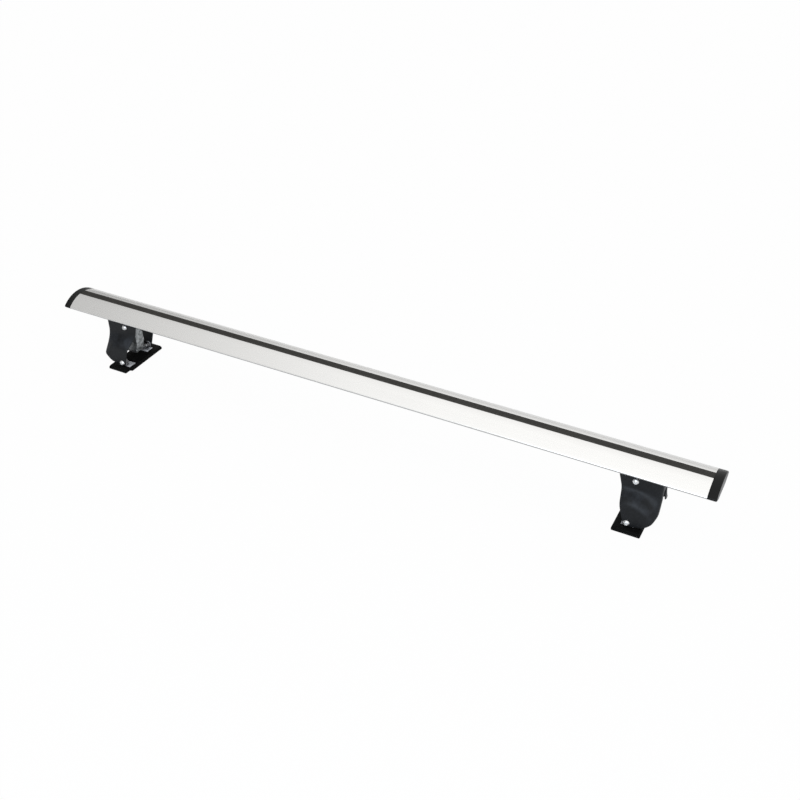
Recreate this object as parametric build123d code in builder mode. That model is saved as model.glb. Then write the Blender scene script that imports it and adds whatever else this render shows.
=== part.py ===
"""Roof rack crossbar: a hollow aero bar on two feet that slide along it and carry tilting rubber pads.

The frame: x runs along the bar, y across it, z up. The origin is on the floor under the bar's middle.
Each foot has its own direction "inboard", which points along x to the bar's middle.
"""

import os
from math import atan2, tan

from build123d import *

os.makedirs("parts", exist_ok=True)

# Bar section and length
bar_length = 1200.0
bar_thickness = 26.0
bar_corner_width = 76.0
bar_corner_height = 11.0
bar_flat_width = 30.0
bar_nose_radius = 2.5
bar_wall = 2.0
bar_web = 3.0

# T-slot above, filled by the strip
top_slot_mouth = 14.0
top_slot_lip = 2.5
top_slot_channel = 22.0

# T-slot below, for the clamping bolts
low_slot_mouth = 9.0
low_slot_lip = 3.0
low_slot_channel = 20.0
low_slot_depth = 8.0

# Rubber strip
strip_clearance = 0.15
strip_flange = 2.0
strip_rib_width = 1.6
strip_rib_depth = 0.6
strip_rib_count = 4

# End caps
cap_length = 14.0
cap_edge_radius = 2.0
cap_plug_length = 18.0
cap_plug_clearance = 0.2
cap_joint = 0.05

# Foot: places are measured inboard from the screws' line, heights from the floor
foot_from_end = 120.0
shell_top = 85.0
shell_wall = 2.5
shell_top_width = 35.0
shell_base_width = 78.0
shell_outboard = 41.5
shell_top_inboard = 26.0
shell_waist_inboard = 15.0
shell_waist_height = 43.0
shell_corner_radius = 6.0
shell_bulge_height = 31.5
shell_toe_outboard = 24.0
shell_toe_height = 11.0
shell_toe_radius = 50.0
shoulder_top = 66.0
shoulder_turn_inboard = 52.0
shoulder_knee_inboard = 38.0
shoulder_low_inboard = 24.0
shoulder_crest_outboard = 6.0
shoulder_turn_crest = 53.0
shoulder_knee_crest = 56.0
shoulder_low_crest = 38.0
shoulder_turn_outboard = 42.0
shoulder_knee_outboard = 27.0
shoulder_low_outboard = 16.0
window_flange = 10.0
pivot_height = 13.0
pivot_lug_radius = 6.4

# Saddle between shell and bar
saddle_width = 36.0
saddle_thickness = 5.0
saddle_edge_radius = 2.0

# Galvanised bracket
bracket_sheet = 2.5
bracket_corner_gap = 0.5
bracket_ear_depth = 18.0
bracket_ear_reach = 9.0
tongue_width = 20.0
tongue_top_inboard = 15.0
tongue_knee_inboard = 17.0
tongue_knee_height = 42.0
tongue_end_inboard = 11.0
tongue_end_height = 21.0
tongue_bend_radius = 8.0
tongue_flange_top = 6.0
tongue_flange_knee = 20.0
tongue_flange_end = 21.0

# Clamping bolt
t_bolt_outboard = 20.0
t_bolt_diameter = 8.0
t_bolt_head_length = 18.0
t_bolt_head_width = 18.0
t_bolt_head_thickness = 4.0
t_bolt_clearance = 0.4
t_bolt_tail = 4.0
washer_diameter = 16.0
washer_thickness = 1.6
t_nut_across = 13.0
t_nut_height = 6.5

# Screws on the shell
screw_diameter = 6.0
screw_head_diameter = 10.5
screw_head_height = 3.3
screw_head_rim = 0.8
screw_crown_rim = 0.6
screw_socket_corner = 2.3
screw_socket_depth = 2.0
screw_clearance = 0.3
screw_running_fit = 0.05
thread_clearance = 0.05
screw_tail = 1.5
nut_across = 10.0
nut_height = 5.0
upper_nut_gap = 0.5

# Pad and its carrier
pad_length = 100.0
pad_outboard = 25.0
pad_inboard = 20.0
pad_sole = 3.5
pad_height = 6.0
pad_step = 1.5
pad_corner_radius = 2.0
pad_notch_length = 12.0
pad_notch_width = 5.0
carrier_sheet = 2.0
carrier_outboard = 11.0
carrier_inboard = 14.0
carrier_rail = 5.0
carrier_window = 40.0
carrier_clearance = 0.2
carrier_lug_gap = 0.3
carrier_lug_radius = 6.0
carrier_lug_outboard = 8.0
carrier_lug_inboard = 8.0

# Length by which a cutting form passes the face that it opens
cut_margin = 5.0

# Derived places
bar_underside = shell_top + saddle_thickness
bar_top = bar_underside + bar_thickness
bar_corner_z = bar_underside + bar_corner_height
extrusion_length = bar_length - 2 * cap_length
low_slot_roof = bar_underside + low_slot_lip + low_slot_depth
top_slot_floor = low_slot_roof + bar_web
slot_block_width = max(top_slot_channel, low_slot_channel) + 2 * bar_wall
foot_x = bar_length / 2 - foot_from_end
bracket_width = shell_top_width - 2 * shell_wall
bracket_roof = shell_top - bracket_sheet
upper_screw_height = bracket_roof - upper_nut_gap - nut_across / 2
bracket_outboard = shell_outboard - shell_corner_radius - bracket_corner_gap
carrier_seat = pad_height - carrier_sheet
lug_outside = shell_base_width / 2 - shell_wall - carrier_lug_gap
lug_inside = lug_outside - carrier_sheet
lug_bottom = pivot_height - pivot_lug_radius
bulge = (-shell_outboard, shell_bulge_height)
toe = (-shell_toe_outboard, shell_toe_height)
outboard_shoulder = (shoulder_turn_outboard, shoulder_knee_outboard, shoulder_low_outboard)
crest_shoulder = (shoulder_turn_crest, shoulder_knee_crest, shoulder_low_crest)
inboard_shoulder = (shoulder_turn_inboard, shoulder_knee_inboard, shoulder_low_inboard)


def save(builder, name):
    """Label a finished piece and write it to its own file."""
    builder.part.label = name
    export_step(builder.part, f"parts/{name}.step")


def cross_plane(x):
    """Give the upright plane across the bar at a place along it."""
    return Plane(origin=(x, 0, 0), x_dir=(0, 1, 0), z_dir=(1, 0, 0))


# The bar's skin: an arched top, round noses and a flat belly
half_corner = bar_corner_width / 2
half_flat = bar_flat_width / 2
with BuildSketch(Plane.YZ) as skin:
    with BuildLine():
        ThreePointArc((-half_corner, bar_corner_z), (0, bar_top), (half_corner, bar_corner_z))
        TangentArc((half_flat, bar_underside), (half_corner, bar_corner_z), tangent=(1, 0))
        Line((half_flat, bar_underside), (-half_flat, bar_underside))
        TangentArc((-half_flat, bar_underside), (-half_corner, bar_corner_z), tangent=(-1, 0))
    make_face()
    noses = skin.vertices().group_by(Axis.X)
    fillet(noses[0] + noses[-1], radius=bar_nose_radius)

# The two side chambers of the section
with BuildSketch(Plane.YZ) as chambers:
    add(skin.sketch_local)
    offset(amount=-bar_wall, mode=Mode.REPLACE)
    with Locations((0, bar_underside + bar_thickness / 2)):
        Rectangle(slot_block_width, 2 * bar_thickness, mode=Mode.SUBTRACT)

with BuildPart() as crossbar_extrusion:
    with BuildSketch(Plane.YZ):
        add(skin.sketch_local)
        add(chambers.sketch_local, mode=Mode.SUBTRACT)
        with Locations((0, top_slot_floor)):
            Rectangle(top_slot_mouth, bar_thickness, align=(Align.CENTER, Align.MIN), mode=Mode.SUBTRACT)
            channel_height = bar_top - top_slot_lip - top_slot_floor
            Rectangle(top_slot_channel, channel_height, align=(Align.CENTER, Align.MIN), mode=Mode.SUBTRACT)
        with Locations((0, low_slot_roof)):
            Rectangle(low_slot_mouth, bar_thickness, align=(Align.CENTER, Align.MAX), mode=Mode.SUBTRACT)
            Rectangle(low_slot_channel, low_slot_depth, align=(Align.CENTER, Align.MAX), mode=Mode.SUBTRACT)
    extrude(amount=extrusion_length / 2, both=True)
save(crossbar_extrusion, "crossbar_extrusion")

# Rubber strip: a cap that fills the slot's mouth and a flange that is held under the lips
strip_cap = top_slot_mouth - 2 * strip_clearance
strip_flange_width = top_slot_channel - 2 * strip_clearance
strip_flange_top = bar_top - top_slot_lip - strip_clearance
strip_rib_pitch = strip_cap / (strip_rib_count + 1)

with BuildPart() as slot_strip:
    with BuildSketch(Plane.YZ) as strip_section:
        add(skin.sketch_local)
        with Locations((0, strip_flange_top)):
            Rectangle(strip_cap, bar_thickness, align=(Align.CENTER, Align.MIN), mode=Mode.INTERSECT)
        with Locations((0, strip_flange_top)):
            Rectangle(strip_flange_width, strip_flange, align=(Align.CENTER, Align.MAX))
        with Locations((0, bar_top)):
            with GridLocations(strip_rib_pitch, 0, strip_rib_count, 1):
                Rectangle(strip_rib_width, 2 * strip_rib_depth, mode=Mode.SUBTRACT)
    extrude(amount=extrusion_length / 2, both=True)
save(slot_strip, "slot_strip")

# End caps: the bar's outline outside, two plugs in its side chambers inside
for side, sign in (("left", -1), ("right", 1)):
    cap_face = cross_plane(sign * (extrusion_length / 2 + cap_joint))
    with BuildPart() as end_cap:
        with BuildSketch(cap_face):
            add(skin.sketch_local)
        extrude(amount=sign * (cap_length - cap_joint))
        outer_face = end_cap.faces().sort_by(Axis((0, 0, 0), (sign, 0, 0)))[-1]
        fillet(outer_face.edges(), radius=cap_edge_radius)
        with BuildSketch(cap_face):
            add(chambers.sketch_local)
            offset(amount=-cap_plug_clearance, mode=Mode.REPLACE)
        extrude(amount=-sign * cap_plug_length)
    save(end_cap, f"end_cap_{side}")


def bell_section(sign, reach, inset, shoulder, top, bottom):
    """Draw the foot's bell-shaped section at a place along the bar, its walls moved inward by the inset."""
    half_top = shell_top_width / 2 - inset
    half_base = shell_base_width / 2 - inset
    turn, knee, low = shoulder
    slope = atan2(2 * (half_base - half_top), shoulder_top + turn - knee - low)
    drop = inset * tan(slope / 2)
    above = ((half_top, shoulder_top - drop), (half_top, turn - drop))
    below = ((half_base, knee - drop), (half_base, low - drop))
    flare = above + below
    mirrored = tuple((-y, z) for y, z in reversed(flare))
    with BuildSketch(cross_plane(sign * (foot_x - reach))) as section:
        with BuildLine():
            Bezier(*flare)
            Polyline(flare[-1], (half_base, bottom), (-half_base, bottom), mirrored[0])
            Bezier(*mirrored)
            Polyline(mirrored[-1], (-half_top, top), (half_top, top), flare[0])
        make_face()
    return section.sketch


def shell_form(sign, inset, overshoot):
    """Loft the foot's form: narrow above, wide below, with rounded outboard corners.

    The inset moves every wall inward, and the overshoot lengthens the form past its open faces.
    """
    top = shell_top + overshoot
    with BuildPart() as form:
        add(bell_section(sign, inset - shell_outboard, inset, outboard_shoulder, top, -overshoot))
        add(bell_section(sign, -shoulder_crest_outboard, inset, crest_shoulder, top, -overshoot))
        add(bell_section(sign, shell_top_inboard + cut_margin, inset, inboard_shoulder, top, -overshoot))
        loft()
        outboard_face = form.faces().sort_by(Axis((0, 0, 0), (sign, 0, 0)))[-1]
        level_edges = outboard_face.edges().filter_by(Axis.Y)
        fillet(outboard_face.edges() - level_edges, radius=shell_corner_radius - inset)
    return form.part


def button_screw(face, grip):
    """Make a button-head screw whose head sits on a face, its shank running back through the grip."""
    shank_radius = screw_diameter / 2
    head_radius = screw_head_diameter / 2
    crown_radius = screw_socket_corner + screw_crown_rim
    side = Plane(origin=face.origin, x_dir=face.z_dir, z_dir=face.x_dir)
    with BuildPart() as screw:
        with BuildSketch(side):
            with BuildLine():
                Polyline(
                    (screw_head_height, crown_radius),
                    (screw_head_height, 0),
                    (-grip, 0),
                    (-grip, shank_radius),
                    (0, shank_radius),
                    (0, head_radius),
                    (screw_head_rim, head_radius),
                )
                RadiusArc((screw_head_rim, head_radius), (screw_head_height, crown_radius), -head_radius)
            make_face()
        revolve(axis=Axis(face.origin, face.z_dir))
        with BuildSketch(face.offset(screw_head_height)):
            RegularPolygon(screw_socket_corner, 6)
        extrude(amount=-screw_socket_depth, mode=Mode.SUBTRACT)
    return screw.part


def outward_plane(sign, facing, distance, height):
    """Give the plane on a cheek's front or rear face, on the line of the foot's screws."""
    origin = (sign * foot_x, facing * distance, height)
    return Plane(origin=origin, x_dir=(-facing, 0, 0), z_dir=(0, facing, 0))


for side, sign in (("left", -1), ("right", 1)):
    inboard = (-sign, 0, 0)
    side_view = Plane(origin=(sign * foot_x, 0, 0), x_dir=inboard, z_dir=(0, sign, 0))
    plan = Plane(origin=(sign * foot_x, 0, 0), x_dir=inboard, z_dir=(0, 0, 1))

    # Shell: a formed wall with a window outboard, open above, below and inboard, cut to its side outline
    with BuildPart() as foot_shell:
        add(shell_form(sign, 0, 0))
        add(shell_form(sign, shell_wall, cut_margin), mode=Mode.SUBTRACT)
        window_start = -shell_outboard - cut_margin
        add(bell_section(sign, window_start, window_flange, outboard_shoulder, shoulder_top, -cut_margin))
        extrude(amount=cut_margin + 2 * shell_wall, dir=inboard, mode=Mode.SUBTRACT)
        with BuildSketch(side_view):
            with BuildLine():
                Line((0, lug_bottom), toe)
                RadiusArc(toe, bulge, shell_toe_radius)
                Polyline(
                    bulge,
                    (-shell_outboard - cut_margin, shell_bulge_height),
                    (-shell_outboard - cut_margin, shell_top + cut_margin),
                    (shell_top_inboard, shell_top + cut_margin),
                    (shell_top_inboard, shell_top),
                )
                Spline(
                    (shell_top_inboard, shell_top),
                    (shell_waist_inboard, shell_waist_height),
                    (pivot_lug_radius, pivot_height),
                )
                Polyline((pivot_lug_radius, pivot_height), (0, pivot_height), (0, lug_bottom))
            make_face()
            with Locations((0, pivot_height)):
                Circle(pivot_lug_radius)
        extrude(amount=shell_base_width, both=True, mode=Mode.INTERSECT)
        with BuildSketch(side_view):
            with Locations((0, upper_screw_height)):
                Circle(screw_diameter / 2 + screw_clearance)
            with Locations((0, pivot_height)):
                Circle(screw_diameter / 2 + screw_running_fit)
        extrude(amount=shell_base_width, both=True, mode=Mode.SUBTRACT)
    save(foot_shell, f"foot_shell_{side}")

    # Saddle: a plate between the shell's top edge and the bar
    with BuildPart() as bar_saddle:
        with BuildSketch(side_view):
            with BuildLine():
                Polyline(
                    (-shell_outboard, shell_top),
                    (shell_top_inboard, shell_top),
                    (shell_top_inboard, bar_underside),
                    (-shell_outboard, bar_underside),
                    close=True,
                )
            make_face()
        extrude(amount=saddle_width / 2, both=True)
        fillet(bar_saddle.edges().filter_by(Axis.Z), radius=saddle_edge_radius)
        with BuildSketch(plan.offset(bar_underside)):
            with Locations((-t_bolt_outboard, 0)):
                Circle(t_bolt_diameter / 2 + t_bolt_clearance)
        extrude(amount=-saddle_thickness, mode=Mode.SUBTRACT)
    save(bar_saddle, f"bar_saddle_{side}")

    # Bracket: a roof plate with two ears for the upper screws and a channel-shaped tongue
    with BuildPart() as bar_bracket:
        with BuildSketch(side_view):
            with BuildLine():
                Polyline(
                    (-bracket_outboard, shell_top),
                    (tongue_top_inboard, shell_top),
                    (tongue_top_inboard, bracket_roof),
                    (-bracket_outboard, bracket_roof),
                    close=True,
                )
            make_face()
        extrude(amount=bracket_width / 2, both=True)
        for half_width, sheet, margin, roof, mode in (
            (tongue_width / 2, 0, 0, shell_top, Mode.ADD),
            (tongue_width / 2 - bracket_sheet, bracket_sheet, cut_margin, bracket_roof, Mode.SUBTRACT),
        ):
            with BuildSketch(side_view) as tongue_side:
                with BuildLine():
                    Polyline(
                        (tongue_top_inboard - sheet, roof),
                        (tongue_knee_inboard - sheet, tongue_knee_height),
                        (tongue_end_inboard - sheet, tongue_end_height),
                        (tongue_end_inboard - tongue_flange_end - margin, tongue_end_height),
                        (tongue_knee_inboard - tongue_flange_knee - margin, tongue_knee_height),
                        (tongue_top_inboard - tongue_flange_top - margin, roof),
                        close=True,
                    )
                make_face()
                knee = tongue_side.vertices().sort_by(Axis.X)[-1]
                fillet(knee, radius=tongue_bend_radius - sheet)
            extrude(amount=half_width, both=True, mode=mode)
        for facing in (-1, 1):
            with BuildSketch(outward_plane(sign, facing, bracket_width / 2, upper_screw_height)):
                with Locations((0, bracket_roof - upper_screw_height)):
                    Rectangle(2 * bracket_ear_reach, bracket_ear_depth, align=(Align.CENTER, Align.MAX))
            extrude(amount=-bracket_sheet)
        with BuildSketch(side_view):
            with Locations((0, upper_screw_height)):
                Circle(screw_diameter / 2 + screw_clearance)
        extrude(amount=bracket_width, both=True, mode=Mode.SUBTRACT)
        with BuildSketch(plan.offset(shell_top)):
            with Locations((-t_bolt_outboard, 0)):
                Circle(t_bolt_diameter / 2 + t_bolt_clearance)
        extrude(amount=-bracket_sheet, mode=Mode.SUBTRACT)
    save(bar_bracket, f"bar_bracket_{side}")

    # Clamping bolt: its head slides in the lower slot
    head_seat = bar_underside + low_slot_lip
    nut_seat = bracket_roof - washer_thickness
    with BuildPart() as t_bolt:
        with BuildSketch(plan.offset(head_seat)):
            with Locations((-t_bolt_outboard, 0)):
                Rectangle(t_bolt_head_length, t_bolt_head_width)
        extrude(amount=t_bolt_head_thickness)
        with BuildSketch(plan.offset(head_seat)):
            with Locations((-t_bolt_outboard, 0)):
                Circle(t_bolt_diameter / 2)
        extrude(amount=nut_seat - t_nut_height - t_bolt_tail - head_seat)
    save(t_bolt, f"t_bolt_{side}")

    with BuildPart() as t_bolt_washer:
        with BuildSketch(plan.offset(bracket_roof)):
            with Locations((-t_bolt_outboard, 0)):
                Circle(washer_diameter / 2)
                Circle(t_bolt_diameter / 2 + t_bolt_clearance, mode=Mode.SUBTRACT)
        extrude(amount=-washer_thickness)
    save(t_bolt_washer, f"t_bolt_washer_{side}")

    with BuildPart() as t_bolt_nut:
        with BuildSketch(plan.offset(nut_seat)):
            with Locations((-t_bolt_outboard, 0)):
                RegularPolygon(t_nut_across / 2, 6, major_radius=False)
                Circle(t_bolt_diameter / 2 + thread_clearance, mode=Mode.SUBTRACT)
        extrude(amount=-t_nut_height)
    save(t_bolt_nut, f"t_bolt_nut_{side}")

    # Screws and nuts: the upper pair holds the bracket, the lower pair is the pad's pivot
    upper_face = shell_top_width / 2
    upper_nut_face = bracket_width / 2 - bracket_sheet
    lower_face = shell_base_width / 2
    for row, height, face, nut_face in (
        ("upper", upper_screw_height, upper_face, upper_nut_face),
        ("lower", pivot_height, lower_face, lug_inside),
    ):
        with BuildPart() as screws:
            for facing in (-1, 1):
                grip = face - nut_face + nut_height + screw_tail
                add(button_screw(outward_plane(sign, facing, face, height), grip))
        save(screws, f"{row}_screws_{side}")

        with BuildPart() as nuts:
            for facing in (-1, 1):
                with BuildSketch(outward_plane(sign, facing, nut_face, height)):
                    RegularPolygon(nut_across / 2, 6, major_radius=False)
                    Circle(screw_diameter / 2 + thread_clearance, mode=Mode.SUBTRACT)
                extrude(amount=-nut_height)
        save(nuts, f"{row}_nuts_{side}")

    # Carrier: a plate sunk in the pad, open in the middle, with two lugs on the shell's pivots
    carrier_length = 2 * lug_outside
    carrier_width = carrier_outboard + carrier_inboard
    carrier_middle = (carrier_inboard - carrier_outboard) / 2
    window_middle = carrier_middle + carrier_rail
    lug_middle = (carrier_lug_inboard - carrier_lug_outboard) / 2
    with BuildPart() as pad_carrier:
        with BuildSketch(plan.offset(carrier_seat)):
            with Locations((carrier_middle, 0)):
                Rectangle(carrier_width, carrier_length)
            with Locations((window_middle, 0)):
                Rectangle(carrier_width, carrier_window, mode=Mode.SUBTRACT)
        extrude(amount=carrier_sheet)
        for facing in (-1, 1):
            with BuildSketch(outward_plane(sign, facing, lug_outside, pivot_height)):
                Circle(carrier_lug_radius)
                with Locations((sign * facing * lug_middle, carrier_seat - pivot_height)):
                    lug_width = carrier_lug_outboard + carrier_lug_inboard
                    Rectangle(lug_width, carrier_sheet, align=(Align.CENTER, Align.MIN))
                make_hull()
                Circle(screw_diameter / 2 + screw_running_fit, mode=Mode.SUBTRACT)
            extrude(amount=-carrier_sheet)
    save(pad_carrier, f"pad_carrier_{side}")

    # Rubber pad: a sole with a smaller block on it, notched at one corner, with a recess for the carrier
    pad_width = pad_outboard + pad_inboard
    pad_middle = (pad_inboard - pad_outboard) / 2
    with BuildPart() as rubber_pad:
        for level, height, margin in ((0, pad_sole, 0), (pad_sole, pad_height - pad_sole, pad_step)):
            with BuildSketch(plan.offset(level)) as pad_layer:
                with Locations((pad_middle, 0)):
                    Rectangle(pad_width - 2 * margin, pad_length - 2 * margin)
                with Locations((pad_inboard - margin, margin - pad_length / 2)):
                    Rectangle(2 * pad_notch_width, 2 * pad_notch_length, mode=Mode.SUBTRACT)
                fillet(pad_layer.vertices(), radius=pad_corner_radius)
            extrude(amount=height)
        with BuildSketch(plan.offset(pad_height)):
            with Locations((carrier_middle, 0)):
                Rectangle(carrier_width + 2 * carrier_clearance, carrier_length + 2 * carrier_clearance)
            with Locations((window_middle + carrier_clearance, 0)):
                Rectangle(carrier_width, carrier_window - 2 * carrier_clearance, mode=Mode.SUBTRACT)
        extrude(amount=-carrier_sheet, mode=Mode.SUBTRACT)
    save(rubber_pad, f"rubber_pad_{side}")
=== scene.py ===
# %% [markdown]
# # A roof rack crossbar, dressed for the studio
# The solids of the part come in as a fixed frame: a hollow aluminium bar, its rubber strip and end caps, and two
# feet. The cells below add a camera, a pale studio, finishes made of nodes, and finer pieces where the real shape
# has softer edges or more detail than the solid.

import math

import bpy
from mathutils import Matrix, Vector
from mathutils.geometry import intersect_sphere_sphere_2d


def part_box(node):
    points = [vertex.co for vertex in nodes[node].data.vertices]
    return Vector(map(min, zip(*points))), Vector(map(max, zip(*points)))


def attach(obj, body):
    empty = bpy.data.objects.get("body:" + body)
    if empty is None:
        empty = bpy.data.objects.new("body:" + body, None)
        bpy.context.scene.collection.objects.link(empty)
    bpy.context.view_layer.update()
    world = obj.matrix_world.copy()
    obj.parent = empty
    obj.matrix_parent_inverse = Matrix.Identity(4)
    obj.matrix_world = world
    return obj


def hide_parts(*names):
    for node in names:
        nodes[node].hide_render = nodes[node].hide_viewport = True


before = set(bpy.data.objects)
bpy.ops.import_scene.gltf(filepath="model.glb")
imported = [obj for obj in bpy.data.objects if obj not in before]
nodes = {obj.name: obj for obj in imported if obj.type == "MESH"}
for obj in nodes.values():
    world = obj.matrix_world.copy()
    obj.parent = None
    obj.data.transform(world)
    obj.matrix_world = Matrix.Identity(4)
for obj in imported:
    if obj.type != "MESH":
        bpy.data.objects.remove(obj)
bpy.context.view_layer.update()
scene = bpy.context.scene
scene.view_settings.view_transform = "Standard"
mm = 0.001

# %% [markdown]
# ## Camera
# The bar's long edges and the four screw heads fix where the camera stands: in front of the right-hand end, a
# metre up, looking down by 35 degrees. A camera could be aimed by a Track To constraint, but a slight roll is part
# of this view, so its matrix is made of three turns, as on a tripod: roll, then tilt, then heading.

# %% Place the camera
CAMERA_PLACE = Vector((0.7335, -1.2406, 1.0758))
CAMERA_PITCH = math.radians(35.25)
CAMERA_HEADING = math.radians(-27.86)
CAMERA_ROLL = math.radians(-0.44)
CAMERA_LENS = 47.43
CAMERA_SENSOR = 36.0

bpy.ops.object.select_all(action="DESELECT")
bpy.ops.object.camera_add()
camera = bpy.context.object
camera.name = "studio_camera"
camera.data.sensor_width = CAMERA_SENSOR
camera.data.lens = CAMERA_LENS
camera.matrix_world = (
    Matrix.Translation(CAMERA_PLACE)
    @ Matrix.Rotation(-CAMERA_HEADING, 4, "Z")
    @ Matrix.Rotation(math.pi / 2 - CAMERA_PITCH, 4, "X")
    @ Matrix.Rotation(CAMERA_ROLL, 4, "Z")
)
scene.camera = camera
print("camera at", [round(v, 3) for v in camera.location])

# %% [markdown]
# ## Ways to wire nodes
# By hand each node is dragged in and wired from socket to socket. Here one helper adds a node and feeds its inputs,
# in order or by name, with sockets or plain values, so that a line of the script reads like a sum.

# %% Helpers for nodes
def new_tree(owner):
    """Empty an owner's node tree and give it back."""
    owner.use_nodes = True
    owner.node_tree.nodes.clear()
    return owner.node_tree


def feed(tree, socket, value):
    """Link a socket to an input, or set the input to a plain value."""
    if isinstance(value, bpy.types.NodeSocket):
        tree.links.new(value, socket)
    else:
        socket.default_value = value


def add_node(tree, kind, *feeds, operation=None, **values):
    """Add a node and feed its first inputs in order, and others by name."""
    node = tree.nodes.new("ShaderNode" + kind)
    if operation:
        node.operation = operation
    for socket, value in zip(node.inputs, feeds):
        feed(tree, socket, value)
    for name, value in values.items():
        feed(tree, node.inputs[name.replace("_", " ")], value)
    return node


def calc(tree, operation, *feeds):
    """Add a Math node and give its result."""
    return add_node(tree, "Math", *feeds, operation=operation).outputs[0]


def ramp(tree, value, start, stop, low=0.0, high=1.0):
    """Turn a value that runs from start to stop into one that runs from low to high."""
    return add_node(tree, "MapRange", value, start, stop, low, high).outputs[0]


# %% [markdown]
# ## Studio floor
# The part stands on a white sweep. The floor could be a pure glowing plane, but then it would hold no shadow and the
# pads would float. So it is white paint, lifted towards white for the rays that the camera sends, and a little for
# the rays that mirrors send, because polished metal near a white floor shows it.

# %% Lay the floor
FLOOR_SIZE = 14.0
FLOOR_WHITE = (0.74, 0.74, 0.74, 1)
PURE_WHITE = (1, 1, 1, 1)
FLOOR_LIFT_SEEN = 0.97
FLOOR_LIFT_MIRRORED = 0.20

bpy.ops.object.select_all(action="DESELECT")
bpy.ops.mesh.primitive_plane_add(size=FLOOR_SIZE)
floor = bpy.context.object
floor.name = "studio_floor"

floor_paint = bpy.data.materials.new("floor_paint")
tree = new_tree(floor_paint)
rays = add_node(tree, "LightPath")
mirrored = calc(tree, "MAXIMUM", rays.outputs["Is Glossy Ray"], rays.outputs["Is Transmission Ray"])
lift_mirrored = calc(tree, "MULTIPLY", mirrored, FLOOR_LIFT_MIRRORED)
lift_seen = calc(tree, "MULTIPLY", rays.outputs["Is Camera Ray"], FLOOR_LIFT_SEEN)
lift = calc(tree, "MAXIMUM", lift_seen, lift_mirrored)
paint = add_node(tree, "BsdfDiffuse", Color=FLOOR_WHITE)
glow = add_node(tree, "Emission", Color=PURE_WHITE, Strength=1.0)
blend = add_node(tree, "MixShader", lift, paint.outputs[0], glow.outputs[0])
add_node(tree, "OutputMaterial", Surface=blend.outputs[0])
floor.data.materials.append(floor_paint)
print("floor:", FLOOR_SIZE, "m")

# %% [markdown]
# ## Studio air and lamp
# Satin metal shows what stands around it. On the real bar the front band runs from pale grey on the left to nearly
# white on the right, so the room is greyer on the left. A row of lamps could do that too, but a gradient in the air
# is smoother. The air is also greyer near the horizon and at the back, where the bar's rear band looks. One large,
# cool box in front of the right-hand foot hints at the soft band on its black shell.

# %% Hang the lights
AIR_DARK_SIDE, AIR_PALE_SIDE = 0.28, 1.08
AIR_DARK_AT, AIR_PALE_AT = -0.76, -0.41
HORIZON_SHARE, HORIZON_TOP = 0.60, 0.40
BACK_SHARE = 0.84
BACK_FROM, BACK_TO = 0.25, 0.80
BOX_PLACE, BOX_AIM = Vector((0.60, -1.50, 0.80)), Vector((0.48, 0, 0.05))
BOX_SIZE, BOX_WATTS = (1.3, 0.8), 10.0
BOX_COLOUR = (0.74, 0.87, 1.0)

air = bpy.data.worlds.new("studio_air")
scene.world = air
tree = new_tree(air)
way = add_node(tree, "SeparateXYZ", add_node(tree, "TexCoord").outputs["Generated"])
side = ramp(tree, way.outputs["X"], AIR_DARK_AT, AIR_PALE_AT, AIR_DARK_SIDE, AIR_PALE_SIDE)
back = ramp(tree, way.outputs["Y"], BACK_FROM, BACK_TO, 1.0, BACK_SHARE)
horizon = ramp(tree, way.outputs["Z"], 0.0, HORIZON_TOP, HORIZON_SHARE, 1.0)
light = calc(tree, "MULTIPLY", calc(tree, "MULTIPLY", side, back), horizon)
seen = add_node(tree, "LightPath").outputs["Is Camera Ray"]
level = add_node(tree, "Mix", Factor=seen, A=light, B=1.0)
sky = add_node(tree, "Background", Color=PURE_WHITE, Strength=level.outputs[0])
add_node(tree, "OutputWorld", Surface=sky.outputs[0])

bpy.ops.object.light_add(type="AREA", location=BOX_PLACE)
lamp = bpy.context.object
lamp.name = "front_box"
lamp.data.shape = "RECTANGLE"
lamp.data.size, lamp.data.size_y = BOX_SIZE
lamp.data.energy = BOX_WATTS
lamp.data.color = BOX_COLOUR
lamp.rotation_euler = (BOX_AIM - BOX_PLACE).to_track_quat("-Z", "Y").to_euler()
lamp.visible_camera = False
print("lamp:", lamp.name, BOX_WATTS, "W")

# %% [markdown]
# ## Shared effects
# The same few things happen on every surface: a fine grain, edges rubbed by hands and tools, and a veil on what looks
# up. Where the veil is faint it is dust. Where it is strong it is painted light: a sheen on the shell's shoulder and a
# pale top on the carriers. Each could be wired again in every material, but then a change means ten changes. So each
# is a node group with its own inputs, which puts out only a value that varies over the surface.

# %% Build the node groups
RUB_SAMPLES = 6


def new_group(name, output, **inputs):
    """Make a node group with one output and give its tree, input node and output node."""
    group = bpy.data.node_groups.new(name, "ShaderNodeTree")
    for socket_name, value in inputs.items():
        socket = group.interface.new_socket(socket_name, in_out="INPUT", socket_type="NodeSocketFloat")
        socket.default_value = value
    group.interface.new_socket(output, in_out="OUTPUT", socket_type="NodeSocketFloat")
    return group, group.nodes.new("NodeGroupInput"), group.nodes.new("NodeGroupOutput")


def object_noise(tree, scale, detail=3.0, roughness=0.55, stretch=(1, 1, 1)):
    """Add a noise in object coordinates, stretched along the axes, and give its value."""
    coords = add_node(tree, "TexCoord")
    mapping = add_node(tree, "Mapping", Vector=coords.outputs["Object"], Scale=stretch)
    noise = add_node(
        tree, "TexNoise", Vector=mapping.outputs[0], Scale=scale, Detail=detail, Roughness=roughness
    )
    return noise.outputs["Fac"]


def upward(tree):
    """Give how far the surface looks up: 1 on top, 0 on a wall, -1 below."""
    face = add_node(tree, "NewGeometry")
    return add_node(tree, "SeparateXYZ", face.outputs["Normal"]).outputs["Z"]


# Grain: fine noise, from smooth to leathery by its scale
grain_group, start, end = new_group("fine_grain", "Grain", Scale=900.0)
feed(grain_group, end.inputs["Grain"], object_noise(grain_group, start.outputs["Scale"]))

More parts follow.
